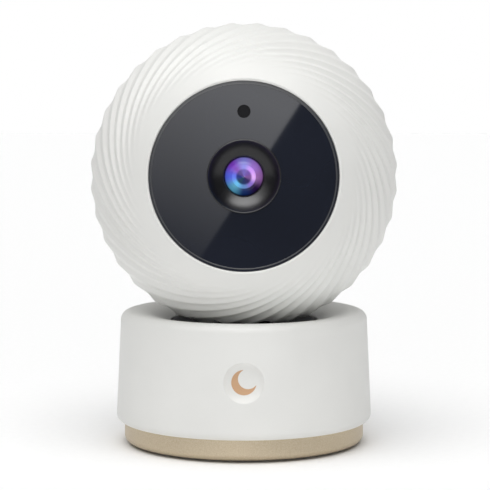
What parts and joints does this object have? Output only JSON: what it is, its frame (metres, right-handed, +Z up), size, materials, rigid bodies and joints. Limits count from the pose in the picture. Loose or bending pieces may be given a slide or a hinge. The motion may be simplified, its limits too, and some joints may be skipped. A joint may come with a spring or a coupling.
{
  "type": "baby monitor camera",
  "caption": "Ball-shaped pan and tilt baby camera with spiral fluted white shells, a glossy black face and a dished round base with a champagne foot ring.",
  "frame": {"origin": "on the pan axis, at the table surface that the rubber feet rest on", "axes": "+Z up along the pan axis, the lens looks along -Y at rest, +X to the right of someone who faces the lens"},
  "size_m": [0.0818, 0.0751, 0.1122],
  "materials": {
    "white_shell": "satin moulded ABS, very fine texture",
    "champagne_trim": "champagne metallic paint, fine grain, satin",
    "badge_inlay": "warm metallic inlay, satin",
    "rubber_foot": "soft matt rubber",
    "black_gloss": "polished infrared-passing acrylic, mirror smooth",
    "bezel_grey": "painted plastic ring, semi-gloss",
    "hood_black": "moulded black plastic, satin",
    "black_matte": "moulded black plastic, matt",
    "frame_plastic": "glass-filled nylon, dark grey, matt",
    "acetal": "natural acetal, smooth",
    "steel": "zinc-plated steel",
    "motor_can": "drawn and plated steel can",
    "lens_glass": "coated optical glass, polished",
    "filter_glass": "coated infrared filter glass",
    "pcb_green": "solder-masked circuit board",
    "chip_black": "moulded chip package",
    "led_lens": "clear epoxy over a pale chip",
    "window_dark": "smoked acrylic window",
    "antenna_copper": "copper on flexible film",
    "wire_black": "insulated wire",
    "button_white": "moulded plastic key"
  },
  "bodies": {
    "base": {"base_shell": "white_shell", "base_trim": "champagne_trim", "badge_mark": "badge_inlay", "bottom_cover": "white_shell", "rubber_feet": "rubber_foot", "base_screws": "steel", "pan_chassis": "frame_plastic", "chassis_screws": "steel", "thrust_washer": "acetal", "pan_motor": "motor_can", "pan_motor_screws": "steel", "base_board": "pcb_green", "base_board_screws": "steel", "power_socket": "steel", "tact_switch": "chip_black", "speaker": "black_matte", "microphone": "steel", "wifi_antenna": "antenna_copper"},
    "pan": {"turntable": "white_shell", "pan_gear": "acetal", "pan_gear_screws": "steel", "pan_clip": "steel", "yoke": "frame_plastic", "yoke_screws": "steel", "tilt_pins": "steel", "tilt_motor": "motor_can", "tilt_motor_screws": "steel", "wire_loom": "wire_black"},
    "pan_drive": {"pan_shaft": "steel", "pan_pinion": "acetal"},
    "tilt_drive": {"tilt_shaft": "steel", "tilt_pinion": "acetal"},
    "pair_button": {"pair_button": "button_white"},
    "head": {"head_front_shell": "white_shell", "head_rear_shell": "white_shell", "face_bezel": "bezel_grey", "face_panel": "black_gloss", "lens_hood": "hood_black", "front_lens": "lens_glass", "rear_lens": "lens_glass", "lens_barrel": "black_matte", "lens_holder": "black_matte", "ir_filter": "filter_glass", "image_sensor": "chip_black", "camera_board": "pcb_green", "camera_board_screws": "steel", "ir_board": "pcb_green", "ir_leds": "led_lens", "light_sensor": "chip_black", "sensor_window": "window_dark", "head_chassis": "frame_plastic", "head_chassis_screws": "steel", "tilt_gear": "acetal", "tilt_gear_screws": "steel"}
  },
  "joints": [
    {"name": "pan_turn", "type": "hinge", "parent": "base", "child": "pan", "pos_m": [0, 0, 0.0713], "axis": [0, 0, 1], "range_deg": [-175, 175]},
    {"name": "head_tilt", "type": "hinge", "parent": "pan", "child": "head", "pos_m": [0, 0, 0.0713], "axis": [-1, 0, 0], "range_deg": [-15, 57]},
    {"name": "pan_pinion_spin", "type": "hinge", "parent": "base", "child": "pan_drive", "pos_m": [0, -0.0156, 0.0245], "axis": [0, 0, 1], "range_deg": [-584, 584]},
    {"name": "tilt_pinion_spin", "type": "hinge", "parent": "pan", "child": "tilt_drive", "pos_m": [0.0172, 0.01474, 0.06098], "axis": [-1, 0, 0], "range_deg": [-229, 61]},
    {"name": "pair_button_press", "type": "slide", "parent": "base", "child": "pair_button", "axis": [-0.4695, -0.8829, 0], "range_m": [0, 0.0006], "stiffness_N_per_m": 400}
  ],
  "couplings": [
    {"joint": "pan_pinion_spin", "follows": "pan_turn", "ratio": -3.3333},
    {"joint": "tilt_pinion_spin", "follows": "head_tilt", "ratio": -4}
  ]
}
